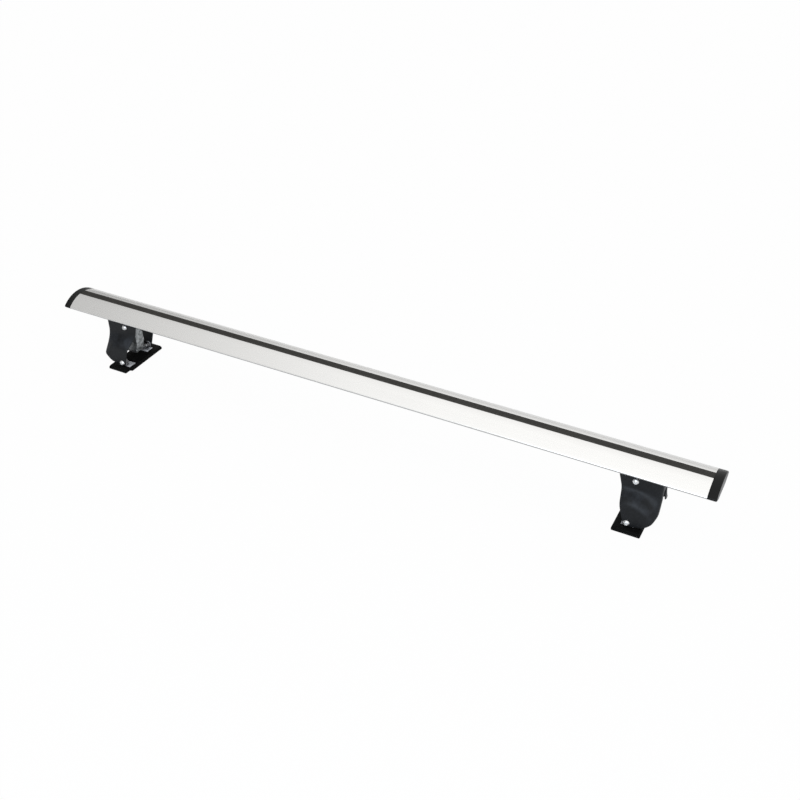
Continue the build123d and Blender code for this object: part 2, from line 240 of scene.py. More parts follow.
# Rub: where the rounded normal leaves the true one there is an edge, broken up by noise
rub_group, start, end = new_group("edge_rub", "Rub", Radius=0.0012, Gain=6.0, Scale=160.0)
rounded = add_node(rub_group, "Bevel", Radius=start.outputs["Radius"])
rounded.samples = RUB_SAMPLES
true_face = add_node(rub_group, "NewGeometry")
agree = add_node(rub_group, "VectorMath", rounded.outputs[0], true_face.outputs["Normal"], operation="DOT_PRODUCT")
differ = calc(rub_group, "SUBTRACT", 1.0, agree.outputs["Value"])
gained = calc(rub_group, "MULTIPLY", differ, start.outputs["Gain"])
noise = object_noise(rub_group, start.outputs["Scale"], detail=5.0, roughness=0.65)
broken = add_node(rub_group, "Math", gained, noise, operation="MULTIPLY")
broken.use_clamp = True
feed(rub_group, end.inputs["Rub"], broken.outputs[0])

# Dust and sheen: blotches on faces that look up, which are dust when faint and painted light when strong
dust_and_sheen_group, start, end = new_group("dust_and_sheen_veil", "DustAndSheen", Scale=45.0, Amount=0.5)
noise = object_noise(dust_and_sheen_group, start.outputs["Scale"], detail=6.0, roughness=0.6)
lying = ramp(dust_and_sheen_group, upward(dust_and_sheen_group), start=0.15, stop=0.9)
blotch = ramp(dust_and_sheen_group, noise, start=0.40, stop=0.72)
settled = calc(dust_and_sheen_group, "MULTIPLY", lying, blotch)
feed(dust_and_sheen_group, end.inputs["DustAndSheen"], calc(dust_and_sheen_group, "MULTIPLY", settled, start.outputs["Amount"]))

# Marks: sparse soft smears of handling
marks_group, start, end = new_group("handling_marks", "Marks", Scale=14.0)
noise = object_noise(marks_group, start.outputs["Scale"], detail=8.0, roughness=0.7)
feed(marks_group, end.inputs["Marks"], ramp(marks_group, noise, start=0.45, stop=0.78))
print("groups:", [group.name for group in bpy.data.node_groups])

# %% [markdown]
# ## Ways to wire a finish
# Every finish is one Principled shader. What is the same all over is set on the shader's own sockets, and what varies
# comes from the groups through small helpers: a colour between two, a number between two, a sum and a bump.

# %% Helpers for finishes
MIX_FACTOR, MIX_UNDER, MIX_OVER, MIX_COLOUR = 0, 6, 7, 2


def new_finish(name):
    """Make a material with an empty tree and give both."""
    material = bpy.data.materials.new(name)
    return material, new_tree(material)


def shade(tree, **sockets):
    """End a tree with a Principled shader, fed by name."""
    shader = add_node(tree, "BsdfPrincipled", **sockets)
    add_node(tree, "OutputMaterial", Surface=shader.outputs[0])


def effect(tree, group, **values):
    """Place a node group in a tree with its own values and give its only output."""
    node = tree.nodes.new("ShaderNodeGroup")
    node.node_tree = group
    for name, value in values.items():
        node.inputs[name].default_value = value
    return node.outputs[0]


def between(tree, mask, high, low=0.0):
    """Turn a mask from 0 to 1 into a number from low to high."""
    return ramp(tree, mask, 0.0, 1.0, low, high)


def added(tree, first, second):
    """Add two values."""
    return calc(tree, "ADD", first, second)


def tint(tree, mask, under, over):
    """Mix two colours by a mask. Each may be a colour or a socket."""
    node = tree.nodes.new("ShaderNodeMix")
    node.data_type = "RGBA"
    feed(tree, node.inputs[MIX_FACTOR], mask)
    for place, colour in ((MIX_UNDER, under), (MIX_OVER, over)):
        feed(tree, node.inputs[place], (*colour, 1) if isinstance(colour, tuple) else colour)
    return node.outputs[MIX_COLOUR]


def bump(tree, height, strength, depth):
    """Turn a height into a bumped normal, with a depth in metres."""
    return add_node(tree, "Bump", Strength=strength, Distance=depth, Height=height).outputs[0]


# %% [markdown]
# ## Aluminium
# The bar is an extrusion, clear anodised: satin, faintly warm, with hair-fine lines along its length from the die.
# The lines could be an anisotropic shader, but a noise that is stretched hundreds of times along the bar also shows
# in the bump and lets single lines stand out. What faces down gets a darker grey as painted shade, which draws the
# thin dark line along the front edge.

# %% Satin aluminium
ALUMINIUM = (0.930, 0.923, 0.905)
ALUMINIUM_DULL = (0.890, 0.883, 0.866)
# Painted shade: the darker grey for faces that look down.
ALUMINIUM_PAINTED_SHADE = (0.440, 0.440, 0.445)
DIE_LINES = (0.9, 700.0, 700.0)
PAINTED_SHADE_FROM, PAINTED_SHADE_TO = 0.10, -0.20

satin_aluminium, tree = new_finish("satin_aluminium")
lines = object_noise(tree, 1.0, detail=2.0, stretch=DIE_LINES)
marks = effect(tree, marks_group, Scale=9.0)
grain = effect(tree, grain_group, Scale=2600.0)
colour = tint(tree, lines, ALUMINIUM, ALUMINIUM_DULL)
colour = tint(tree, between(tree, marks, high=0.35), colour, ALUMINIUM_DULL)
# Painted shade: faces that look down turn to the darker grey, which draws the thin dark line along the front edge.
under = ramp(tree, upward(tree), PAINTED_SHADE_FROM, PAINTED_SHADE_TO)
shade(
    tree,
    Metallic=1.0,
    Base_Color=tint(tree, under, colour, ALUMINIUM_PAINTED_SHADE),
    Roughness=added(tree, between(tree, lines, high=0.30, low=0.23), between(tree, marks, high=0.05)),
    Normal=bump(tree, added(tree, lines, between(tree, grain, high=0.4)), strength=0.05, depth=0.0002),
)
print("finish:", satin_aluminium.name)

# %% [markdown]
# ## Blacks
# Four blacks meet on this part and they must not look alike. The shell is sheet metal in a smooth black coat with a
# faint orange peel and blue-grey rubbed edges, and a blue-grey sheen is painted on its shoulder as painted light. The
# caps and saddles are moulded with a fine spark texture. The strip is warm grey-black rubber, and the pads are coarse
# black rubber. Each could be wired on its own, but they differ only in their numbers, so one function makes all four.

# %% Black coat, plastics and rubbers
def black_finish(name, deep, worn_and_sheen, rough, grain_scale, depth, dust_and_sheen, gain, specular, peel):
    """Make a dark finish: a deep colour, lighter on rubbed edges and under dust and painted sheen, with a bumpy grain.
    """
    material, tree = new_finish(name)
    grain = effect(tree, grain_group, Scale=grain_scale)
    rub = effect(tree, rub_group, Gain=gain)
    veil = effect(tree, dust_and_sheen_group, Amount=dust_and_sheen)
    marks = effect(tree, marks_group, Scale=26.0)
    smooth, coarse = rough
    colour = tint(tree, between(tree, grain, high=0.45), deep, worn_and_sheen)
    shade(
        tree,
        Specular_IOR_Level=specular,
        Base_Color=tint(tree, added(tree, rub, veil), colour, worn_and_sheen),
        Roughness=added(tree, between(tree, grain, high=coarse, low=smooth), between(tree, marks, high=0.08)),
        Normal=bump(tree, grain, peel, depth),
    )
    return material


# On the shell the veil is strong: a blue-grey sheen painted on its shoulder as painted light, in place of a highlight.
black_coat = black_finish(
    "black_coat", deep=(0.0055, 0.0056, 0.0056), worn_and_sheen=(0.029, 0.033, 0.040), rough=(0.36, 0.46), grain_scale=420.0,
    depth=0.00006, dust_and_sheen=1.60, gain=2.0, specular=0.18, peel=0.35,
)
black_plastic = black_finish(
    "moulded_black", deep=(0.0030, 0.0030, 0.0029), worn_and_sheen=(0.018, 0.018, 0.017), rough=(0.22, 0.30), grain_scale=1500.0,
    depth=0.00006, dust_and_sheen=0.06, gain=2.0, specular=0.16, peel=0.5,
)
strip_rubber = black_finish(
    "strip_rubber", deep=(0.026, 0.024, 0.021), worn_and_sheen=(0.062, 0.058, 0.052), rough=(0.62, 0.80), grain_scale=1100.0,
    depth=0.00010, dust_and_sheen=0.30, gain=2.0, specular=0.30, peel=0.5,
)
pad_rubber = black_finish(
    "pad_rubber", deep=(0.0010, 0.0010, 0.0010), worn_and_sheen=(0.010, 0.010, 0.010), rough=(0.42, 0.72), grain_scale=420.0,
    depth=0.00060, dust_and_sheen=0.06, gain=3.0, specular=0.09, peel=0.9,
)
print("blacks:", black_coat.name, black_plastic.name, strip_rubber.name, pad_rubber.name)

# %% [markdown]
# ## Zinc and bright steel
# The bracket and the carriers are cut from galvanised sheet, whose zinc sets in flat crystals that each shine their
# own way. A Voronoi texture gives one grey per cell, much as the crystals do. The carriers get the same finish with
# less metal in it and darker greys, and a pale grey is painted on what faces up as painted light. The screws are
# bright plated steel, and the nuts behind them are the same steel, painted dark as painted shade.

# %% Galvanised sheet and plated steel
SPANGLE_SCALE = 210.0
PAINTED_TOP_LIGHT = (0.74, 0.75, 0.78)


def zinc_finish(name, metallic, dark, pale, stain, bright, gain, top_light_amount):
    """Make a zinc from two flake greys, a stain, bright rubbed edges and pale painted light on what faces up."""
    material, tree = new_finish(name)
    coords = add_node(tree, "TexCoord")
    cells = add_node(tree, "TexVoronoi", Vector=coords.outputs["Object"], Scale=SPANGLE_SCALE)
    flake = add_node(tree, "SeparateColor", cells.outputs["Color"]).outputs[0]
    grain = effect(tree, grain_group, Scale=1300.0)
    rub = effect(tree, rub_group, Gain=gain)
    marks = effect(tree, marks_group, Scale=40.0)
    veil = effect(tree, dust_and_sheen_group, Scale=90.0, Amount=top_light_amount)
    colour = tint(tree, flake, dark, pale)
    colour = tint(tree, between(tree, marks, high=0.5), colour, stain)
    # Painted light: a pale grey on what faces up, strong on the carriers.
    colour = tint(tree, veil, colour, PAINTED_TOP_LIGHT)
    shade(
        tree,
        Metallic=metallic,
        Base_Color=tint(tree, rub, colour, bright),
        Roughness=added(tree, between(tree, flake, high=0.52, low=0.36), between(tree, grain, high=0.05, low=-0.05)),
        Normal=bump(tree, added(tree, flake, grain), strength=0.25, depth=0.00008),
    )
    return material


def steel_finish(name, clean, stain, bright):
    """Make a plated steel from its clean colour, its stains and its bright rubbed edges."""
    material, tree = new_finish(name)
    grain = effect(tree, grain_group, Scale=1800.0)
    rub = effect(tree, rub_group, Gain=4.0, Radius=0.0006)
    marks = effect(tree, marks_group, Scale=120.0)
    colour = tint(tree, between(tree, marks, high=0.6), clean, stain)
    shade(
        tree,
        Metallic=1.0,
        Base_Color=tint(tree, rub, colour, bright),
        Roughness=added(tree, between(tree, grain, high=0.34, low=0.22), between(tree, marks, high=0.12)),
        Normal=bump(tree, grain, strength=0.12, depth=0.00005),
    )
    return material


zinc_sheet = zinc_finish(
    "galvanised_zinc", metallic=1.0, dark=(0.14, 0.15, 0.15), pale=(0.54, 0.56, 0.57), stain=(0.22, 0.23, 0.23),
    bright=(0.88, 0.89, 0.90), gain=8.0, top_light_amount=0.1,
)
# The carriers' zinc is darker, with pale grey painted strongly on what faces up as painted light.
carrier_zinc_with_painted_light = zinc_finish(
    "carrier_zinc_with_painted_light", metallic=0.35, dark=(0.10, 0.10, 0.11), pale=(0.20, 0.20, 0.21), stain=(0.10, 0.10, 0.10),
    bright=(0.30, 0.30, 0.31), gain=3.0, top_light_amount=4.0,
)
plated_steel = steel_finish(
    "plated_steel", clean=(0.84, 0.845, 0.85), stain=(0.62, 0.62, 0.61), bright=(0.95, 0.95, 0.95)
)
# The nuts: the same plated steel, painted dark as painted shade inside the feet.
steel_in_painted_shade = steel_finish(
    "steel_in_painted_shade", clean=(0.13, 0.13, 0.135), stain=(0.07, 0.07, 0.07), bright=(0.30, 0.30, 0.31)
)
print("metals:", zinc_sheet.name, carrier_zinc_with_painted_light.name, plated_steel.name, steel_in_painted_shade.name)

# %% [markdown]
# ## Ways to draw
# Most pieces start as a drawn outline. The pen is a plane squeezed into one point: extruding that point draws
# straight lines, and the spin operator swings it along arcs. The closed line is then filled and extruded. A curve
# object could be drawn instead, but its arcs are harder to hit exactly.

# %% Helpers for drawing
WELD = 0.02 * mm
FLAT_ANGLE = math.radians(0.5)


def object_mode():
    """Leave edit mode and deselect everything."""
    if bpy.context.object and bpy.context.object.mode != "OBJECT":
        bpy.ops.object.mode_set(mode="OBJECT")
    bpy.ops.object.select_all(action="DESELECT")


def fresh(add, **options):
    """Add a primitive with nothing else selected and give it in edit mode."""
    object_mode()
    add(**options)
    bpy.ops.object.mode_set(mode="EDIT")
    return bpy.context.object


def rod(sides, radius, depth, **options):
    """Add a round or many-sided rod, sized in millimetres, and give it in edit mode."""
    return fresh(
        bpy.ops.mesh.primitive_cylinder_add, vertices=sides, radius=radius * mm, depth=depth * mm, **options
    )


def pen(place):
    """Start a line at a place, in a new object or in the one being edited."""
    if bpy.context.object and bpy.context.object.mode == "EDIT":
        bpy.ops.mesh.select_all(action="DESELECT")
        bpy.ops.mesh.primitive_plane_add(size=mm)
    else:
        fresh(bpy.ops.mesh.primitive_plane_add, size=mm)
    bpy.ops.mesh.merge(type="CENTER")
    bpy.ops.transform.translate(value=place)
    return bpy.context.object, Vector(place)


def extrude(step):
    """Extrude what is selected."""
    bpy.ops.mesh.extrude_region_move(TRANSFORM_OT_translate={"value": step})


def lines_to(place, points):
    """Draw straight lines from the pen's place through the points."""
    for point in points:
        extrude(Vector(point) - place)
        place = Vector(point)
    return place


def arc_to(place, goal, centre, axis, steps):
    """Swing the pen about a centre until it stands at the goal, the short way round."""
    before = place - Vector(centre)
    after = Vector(goal) - Vector(centre)
    angle = math.atan2(Vector(axis).dot(before.cross(after)), before.dot(after))
    bpy.ops.mesh.spin(steps=steps, angle=-angle, center=centre, axis=axis)
    return Vector(goal)


def weld(threshold=WELD):
    """Select everything and merge the points that lie together."""
    bpy.ops.mesh.select_all(action="SELECT")
    bpy.ops.mesh.remove_doubles(threshold=threshold)


def outward():
    """Turn all normals outwards."""
    bpy.ops.mesh.select_all(action="SELECT")
    bpy.ops.mesh.normals_make_consistent(inside=False)


def fill_and_extrude(step):
    """Weld the drawn lines, fill them, extrude the face and turn all normals outwards."""
    weld()
    bpy.ops.mesh.fill()
    extrude(step)
    outward()


# %% [markdown]
# ## Ways to cut and finish
# A workshop saws, drills and files. Here closed tools cut a piece through Boolean modifiers, and a bevel takes the
# sharpness off. Modifiers could stay live, but each is applied at once, so that a finished piece is a plain mesh. It
# is then named, dressed and compared with the box of the solid that it stands for.

# %% Helpers for cutting and finishing
def activate(piece):
    """Select one object alone, in object mode."""
    object_mode()
    piece.select_set(True)
    bpy.context.view_layer.objects.active = piece


def edit_all(piece):
    """Open a piece in edit mode with all of it selected."""
    activate(piece)
    bpy.ops.object.mode_set(mode="EDIT")
    bpy.ops.mesh.select_all(action="SELECT")


def clean(piece):
    """Weld a piece and join the faces that lie in one plane."""
    edit_all(piece)
    weld()
    bpy.ops.mesh.dissolve_limited(angle_limit=FLAT_ANGLE)
    object_mode()


def modify(piece, kind, **settings):
    """Add a modifier, set it and apply it."""
    activate(piece)
    modifier = piece.modifiers.new(kind.lower(), kind)
    for name, value in settings.items():
        setattr(modifier, name, value)
    bpy.ops.object.modifier_apply(modifier=modifier.name)


def cut(piece, tool, operation="DIFFERENCE"):
    """Cut a piece with a closed tool, which is then thrown away."""
    modify(piece, "BOOLEAN", operation=operation, solver="EXACT", object=tool)
    bpy.data.objects.remove(tool)


def soften(piece, width, segments=2, angle=35):
    """Bevel the edges of a piece by a width in millimetres and shade it smooth up to an angle."""
    limit = math.radians(angle)
    modify(piece, "BEVEL", width=width * mm, segments=segments, limit_method="ANGLE", angle_limit=limit)
    bpy.ops.object.shade_smooth_by_angle(angle=limit)


def bevel_picked(piece, kind, picked, width, segments):
    """Bevel, in edit mode, the edges or the rims of the faces that a test picks."""
    bpy.ops.mesh.select_mode(type=kind)
    bpy.ops.mesh.select_all(action="DESELECT")
    bpy.ops.object.mode_set(mode="OBJECT")
    for part in piece.data.edges if kind == "EDGE" else piece.data.polygons:
        part.select = picked(part)
    bpy.ops.object.mode_set(mode="EDIT")
    bpy.ops.mesh.bevel(offset=width * mm, segments=segments, affect="EDGES")
    bpy.ops.mesh.select_mode(type="VERT")


def copy_of(piece):
    """Copy an object with a mesh of its own."""
    twin = bpy.data.objects.new("copy", piece.data.copy())
    scene.collection.objects.link(twin)
    return twin


def settle(piece, name, body, material, node):
    """Name a finished piece, dress it, let it ride on its body and compare its box with the solid's."""
    object_mode()
    piece.name = name
    piece.data.name = name
    piece.data.materials.clear()
    piece.data.materials.append(material)
    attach(piece, body)
    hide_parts(node)
    gap = max(
        abs(end(vertex.co[axis] for vertex in piece.data.vertices) - corner[axis])
        for end, corner in zip((min, max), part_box(node)) for axis in range(3)
    )
    print(f"{name}: {len(piece.data.polygons)} faces, box within {gap / mm:.2f} mm of {node}")


def settle_pair(piece, name, body, material, node):
    """Settle a piece on the right foot and a copy, turned half round, on the left."""
    twin = copy_of(piece)
    edit_all(twin)
    bpy.ops.transform.rotate(value=math.pi, orient_axis="Z", center_override=(0, 0, 0))
    for one, side in ((piece, "right"), (twin, "left")):
        settle(one, f"{name}_{side}", f"{body}_{side}", material, f"{node}_{side}")


# %% [markdown]
# ## The bar
# An extruded bar has one section all along: an arched top, a small round nose, a curved belly and a flat under it,
# with a T-slot above and below and a hollow chamber on each side. The frame's own bar has the same section, but its
# arcs are coarse flats, which satin metal shows as stripes. So the arcs are set out again from the section's radii,
# to be drawn with finer steps.

# %% Set out the section
BAR_HALF_LENGTH = 586 * mm
BAR_CROWN, BAR_CORNER, BAR_BELLY = 116 * mm, 101 * mm, 90 * mm
BAR_HALF_WIDTH, BAR_HALF_FLAT = 38 * mm, 15 * mm
NOSE_RADIUS, BAR_WALL = 2.5 * mm, 2 * mm
TOP_MOUTH, TOP_LIP, TOP_CHANNEL, TOP_FLOOR = 7 * mm, 113.5 * mm, 11 * mm, 104 * mm
LOW_MOUTH, LOW_LIP, LOW_CHANNEL, LOW_ROOF = 4.5 * mm, 93 * mm, 10 * mm, 101 * mm
CHAMBER_START = 13 * mm
ARCH_STEPS, NOSE_STEPS, BELLY_STEPS = 40, 8, 20

rise = BAR_CROWN - BAR_CORNER
arch_radius = (BAR_HALF_WIDTH ** 2 + rise ** 2) / (2 * rise)
arch_centre = Vector((0, BAR_CROWN - arch_radius))
reach, belly_rise = BAR_HALF_WIDTH - BAR_HALF_FLAT, BAR_CORNER - BAR_BELLY
belly_radius = (reach ** 2 + belly_rise ** 2) / (2 * belly_rise)


def on_section(y, z):
    """Give the place of a point of the bar's section at its left-hand end."""
    return Vector((-BAR_HALF_LENGTH, y, z))


def flank(hand, inset):
    """Give one flank's arcs from the top down: each a start, an end, a centre and its steps."""
    belly_centre = Vector((hand * BAR_HALF_FLAT, BAR_BELLY + belly_radius))
    meeting = intersect_sphere_sphere_2d(
        arch_centre, arch_radius - NOSE_RADIUS, belly_centre, belly_radius - NOSE_RADIUS
    )
    nose_centre = max(meeting, key=lambda point: hand * point.x)
    edge = hand * (CHAMBER_START if inset else TOP_MOUTH)
    arch = arch_radius - inset
    belly = belly_radius - inset
    top = Vector((edge, arch_centre.y + math.sqrt(arch ** 2 - edge ** 2)))
    above = arch_centre + (nose_centre - arch_centre).normalized() * arch
    below = belly_centre + (nose_centre - belly_centre).normalized() * belly
    bottom = Vector((hand * BAR_HALF_FLAT, BAR_BELLY + inset))
    return (
        (top, above, arch_centre, ARCH_STEPS),
        (above, below, nose_centre, NOSE_STEPS),
        (below, bottom, belly_centre, BELLY_STEPS),
    )


rear_flank = flank(1, 0)
front_flank = [(end, start, centre, steps) for start, end, centre, steps in reversed(flank(-1, 0))]
print(f"arch radius {arch_radius / mm:.1f} mm, belly radius {belly_radius / mm:.1f} mm")

# %% [markdown]
# The pen runs once round the outside: down the rear flank, through the lower slot, up the front flank and through the
# upper slot. The two chambers are loops of their own. Filling leaves a loop inside a loop open, so one extrusion makes
# the hollow bar, as the die does.

# %% Draw and extrude the bar
ALONG = (1, 0, 0)
BAR_SMOOTH = math.radians(25)


def draw_flank(place, arcs):
    """Swing the pen along arcs of the section."""
    for start, end, centre, steps in arcs:
        place = arc_to(place, on_section(*end), on_section(*centre), ALONG, steps)
    return place


bar, place = pen(on_section(*rear_flank[0][0]))
place = draw_flank(place, rear_flank)
low_slot = [(LOW_MOUTH, BAR_BELLY), (LOW_MOUTH, LOW_LIP), (LOW_CHANNEL, LOW_LIP), (LOW_CHANNEL, LOW_ROOF)]
low_slot += [(-y, z) for y, z in reversed(low_slot)]
place = lines_to(place, [on_section(y, z) for y, z in low_slot + [(-BAR_HALF_FLAT, BAR_BELLY)]])
place = draw_flank(place, front_flank)
top_slot = [(-TOP_MOUTH, TOP_LIP), (-TOP_CHANNEL, TOP_LIP), (-TOP_CHANNEL, TOP_FLOOR)]
top_slot += [(-y, z) for y, z in reversed(top_slot)]
lines_to(place, [on_section(y, z) for y, z in top_slot + [tuple(rear_flank[0][0])]])
for hand in (1, -1):
    chamber = flank(hand, BAR_WALL)
    first = on_section(*chamber[0][0])
    _, place = pen(first)
    place = draw_flank(place, chamber)
    lines_to(place, [on_section(hand * CHAMBER_START, BAR_BELLY + BAR_WALL), first])
fill_and_extrude((2 * BAR_HALF_LENGTH, 0, 0))
activate(bar)
bpy.ops.object.shade_smooth_by_angle(angle=BAR_SMOOTH)
settle(bar, "extruded_bar", "bar", satin_aluminium, "crossbar_extrusion")

# %% [markdown]
# ## Welded copies
# Some solids already have the right form and only want softer edges: the strip, the caps and the saddles. They could
# be modelled again, but a copy of the solid's mesh is exact. Its triangles are loose, so they are welded first, flat
# neighbours are joined, and a small bevel takes the sharpness off.

# %% Copy, weld and soften
STRIP_EDGE, CAP_EDGE, SADDLE_EDGE = 0.15, 0.2, 0.6


def welded_copy(node):
    """Copy a solid's mesh, weld its triangles and join those that lie in one plane."""
    piece = copy_of(nodes[node])
    clean(piece)
    return piece


strip = welded_copy("slot_strip")
soften(strip, STRIP_EDGE)
settle(strip, "ribbed_strip", "bar", strip_rubber, "slot_strip")
for side in ("left", "right"):
    cap = welded_copy(f"end_cap_{side}")
    soften(cap, CAP_EDGE, angle=40)
    settle(cap, f"moulded_cap_{side}", "bar", black_plastic, f"end_cap_{side}")
    saddle = welded_copy(f"bar_saddle_{side}")
    soften(saddle, SADDLE_EDGE, segments=3)
    settle(saddle, f"soft_saddle_{side}", f"foot_{side}", black_plastic, f"bar_saddle_{side}")

# %% [markdown]
# ## Tools for the feet
# Both feet are one part, so everything is modelled on the right one, in millimetres from its screws: inboard, across
# and up. Boxes and rods at such places serve as stock and as saws and drills. The left foot gets turned copies.

# %% Helpers for the feet
FOOT_X = 480 * mm
DRILL_SIDES = 40


def on_foot(place, across, height):
    """Give a point of the right foot: millimetres inboard of its screws, across and up."""
    return Vector((FOOT_X - place * mm, across * mm, height * mm))


def block(low, high):
    """Add a box between two corners of the right foot, as a start or as a tool."""
    one, other = on_foot(*low), on_foot(*high)
    size = [abs(a - b) for a, b in zip(one, other)]
    piece = fresh(bpy.ops.mesh.primitive_cube_add, size=1, location=(one + other) / 2, scale=size)
    activate(piece)
    bpy.ops.object.transform_apply(location=True, rotation=True, scale=True)
    return piece


def drill(radius, place, height, depth, lying):
    """Add a round tool in the middle of the right foot, lying across the bar or upright."""
    turn = (math.pi / 2, 0, 0) if lying else (0, 0, 0)
    return rod(DRILL_SIDES, radius, depth, location=on_foot(place, 0, height), rotation=turn)


# %% [markdown]
# ## Brackets
# The bracket is folded from one galvanised sheet: a roof plate under the saddle, two ears for the upper screws and a
# kneed tongue with a flange on each side. A copy of the solid has sharp corners where the real sheet has bends. So
# the tongue is drawn from the side, its two long edges get a wide bevel, and a second form hollows it into a channel.

# %% Draw the tongue
ACROSS = (0, 1, 0)
SHEET = 2.5
ROOF_TOP, ROOF_INBOARD = 85.0, 15.0
TONGUE_HALF, TONGUE_END = 10.0, 21.0
TONGUE_TIP = Vector((11.0, TONGUE_END))
KNEE, KNEE_RADIUS, KNEE_STEPS = Vector((17.0, 42.0)), 8.0, 8
FLANGE_END, FLANGE_KNEE, FLANGE_TOP = Vector((-10.0, TONGUE_END)), Vector((-3.0, 42.0)), 9.0
BEND_RADIUS, INNER_BEND, BEND_SEGMENTS = 2.4, 0.4, 5
TOOL_MARGIN = 5.0
PICK_MARGIN = 0.5


def tongue_form(half, sheet, roof, margin, bend):
    """Draw the tongue from the side, extrude it across and round its two inboard edges."""
    top = Vector((ROOF_INBOARD - sheet, roof))
    knee = KNEE - Vector((sheet, 0))
    tip = TONGUE_TIP - Vector((sheet, margin))
    upper, lower = (top - knee).normalized(), (tip - knee).normalized()
    radius = KNEE_RADIUS - sheet
    half_angle = upper.angle(lower) / 2
    first = knee + upper * (radius / math.tan(half_angle))
    last = knee + lower * (radius / math.tan(half_angle))
    centre = knee + (upper + lower).normalized() * (radius / math.sin(half_angle))
    flange_end = FLANGE_END - Vector((margin, margin))
    flange_knee = FLANGE_KNEE - Vector((margin, 0))
    flange_top = Vector((FLANGE_TOP - margin, roof))

    def drawn(point):
        return on_foot(point.x, -half, point.y)

    def bends(edge):
        one, other = (form.data.vertices[index].co for index in edge.vertices)
        return one.x < inboard_x and other.x < inboard_x and abs(one.y - other.y) < WELD

    form, place = pen(drawn(top))
    place = lines_to(place, [drawn(first)])
    place = arc_to(place, drawn(last), drawn(centre), ACROSS, KNEE_STEPS)
    lines_to(place, [drawn(point) for point in (tip, flange_end, flange_knee, flange_top, top)])
    fill_and_extrude((0, 2 * half * mm, 0))
    bpy.ops.mesh.dissolve_limited(angle_limit=FLAT_ANGLE)
    inboard_x = on_foot(tip.x - PICK_MARGIN, 0, 0).x
    bevel_picked(form, "EDGE", bends, bend, BEND_SEGMENTS)
    outward()
    object_mode()
    return form


bracket = tongue_form(TONGUE_HALF, 0.0, ROOF_TOP, 0.0, BEND_RADIUS)
cut(bracket, tongue_form(TONGUE_HALF - SHEET, SHEET, ROOF_TOP - SHEET, TOOL_MARGIN, INNER_BEND))
print("tongue:", len(bracket.data.polygons), "faces")

# %% [markdown]
# The roof plate and the ears are flat, so boxes will do. They could be extruded from the tongue's mesh, but joining
# them with the Boolean leaves one clean sheet, which is then drilled for the screws and the clamp.

# %% Join and drill the brackets
ROOF_OUTBOARD, ROOF_HALF = -35.0, 15.0
EAR_REACH, EAR_DEPTH = 9.0, 18.0
UPPER_SCREW_HEIGHT, CLAMP_OUTBOARD = 77.0, 20.0
EAR_HOLE, CLAMP_HOLE = 3.3, 4.4
BRACKET_EDGE = 0.25

roof_low = ROOF_TOP - SHEET
cut(bracket, block((ROOF_OUTBOARD, -ROOF_HALF, roof_low), (ROOF_INBOARD, ROOF_HALF, ROOF_TOP)), "UNION")
for facing in (-1, 1):
    ear_low = (-EAR_REACH, facing * (ROOF_HALF - SHEET), roof_low - EAR_DEPTH)
    ear_high = (EAR_REACH, facing * ROOF_HALF, ROOF_TOP)
    cut(bracket, block(ear_low, ear_high), "UNION")
cut(bracket, drill(EAR_HOLE, 0, UPPER_SCREW_HEIGHT, 4 * ROOF_HALF, lying=True))
cut(bracket, drill(CLAMP_HOLE, -CLAMP_OUTBOARD, ROOF_TOP, 4 * SHEET, lying=False))
clean(bracket)
soften(bracket, BRACKET_EDGE)
settle_pair(bracket, "folded_bracket", "foot", zinc_sheet, "bar_bracket")

# %% [markdown]
# ## Carriers
# The zinc carrier lies in the pad and lifts a lug at each end for the lower screws. The strip of sheet that joins its
# ends runs under the rubber, so only the two ends show, one of them shorter. They could be drawn anew, but a welded
# copy of the solid with the buried parts cut out keeps the lugs exact.

# %% Trim the carriers
PLATE_START = 20.05
CARRIER_HALF, CARRIER_END = 14.5, 40.0
SHORT_END = 9.0
CARRIER_LOW, CARRIER_HIGH = 3.0, 7.0
LUG_INBOARD, LUG_FOOT, LUG_TOP = 5.5, 6.05, 25.0
CARRIER_EDGE = 0.3

for side in ("right", "left"):
    carrier = welded_copy(f"pad_carrier_{side}")
    joining_strip = block((-CARRIER_HALF, -PLATE_START, CARRIER_LOW), (CARRIER_HALF, PLATE_START, CARRIER_HIGH))
    covered_end = block((SHORT_END, -CARRIER_END, CARRIER_LOW), (CARRIER_HALF, 0, CARRIER_HIGH))
    lug_corner = block((LUG_INBOARD, -CARRIER_END, LUG_FOOT), (CARRIER_HALF, CARRIER_END, LUG_TOP))
    for tool in (joining_strip, covered_end, lug_corner):
        if side == "left":
            tool.data.transform(Matrix.Rotation(math.pi, 4, "Z"))
        cut(carrier, tool)
    soften(carrier, CARRIER_EDGE)
    settle(carrier, f"zinc_carrier_{side}", f"pad_{side}", carrier_zinc_with_painted_light, f"pad_carrier_{side}")

# %% [markdown]
# ## Foot shells
# The shell is pressed from sheet: narrow under the bar, wide over the pad, with a shoulder that is highest near the
# screws and falls towards the outboard corner. It could be bridged from drawn sections, but their points would bunch
# where the shoulder is tight. So a flat grid is laid round the foot and each row of it is set out from the middle by
# the same curve as in the solid. First come the curves: upright, then a Bezier flare, then upright again.

# %% Set out the shell's curves
SHELL_TOP, SHOULDER_TOP, SKIRT_END = 85.0, 66.0, 3.0
HALF_TOP, HALF_BASE = 17.5, 39.0
OUTBOARD, CREST, INBOARD_END = -41.5, -6.0, 31.0
TURN_HEIGHTS = ((OUTBOARD, 42.0), (CREST, 53.0), (INBOARD_END, 52.0))
BACK_HEIGHTS = ((OUTBOARD, 27.0), (CREST, 56.0), (INBOARD_END, 38.0))
LOW_HEIGHTS = ((OUTBOARD, 16.0), (CREST, 38.0), (INBOARD_END, 24.0))
UPRIGHT_ROWS, FLARE_ROWS, SKIRT_ROWS = 6, 34, 10


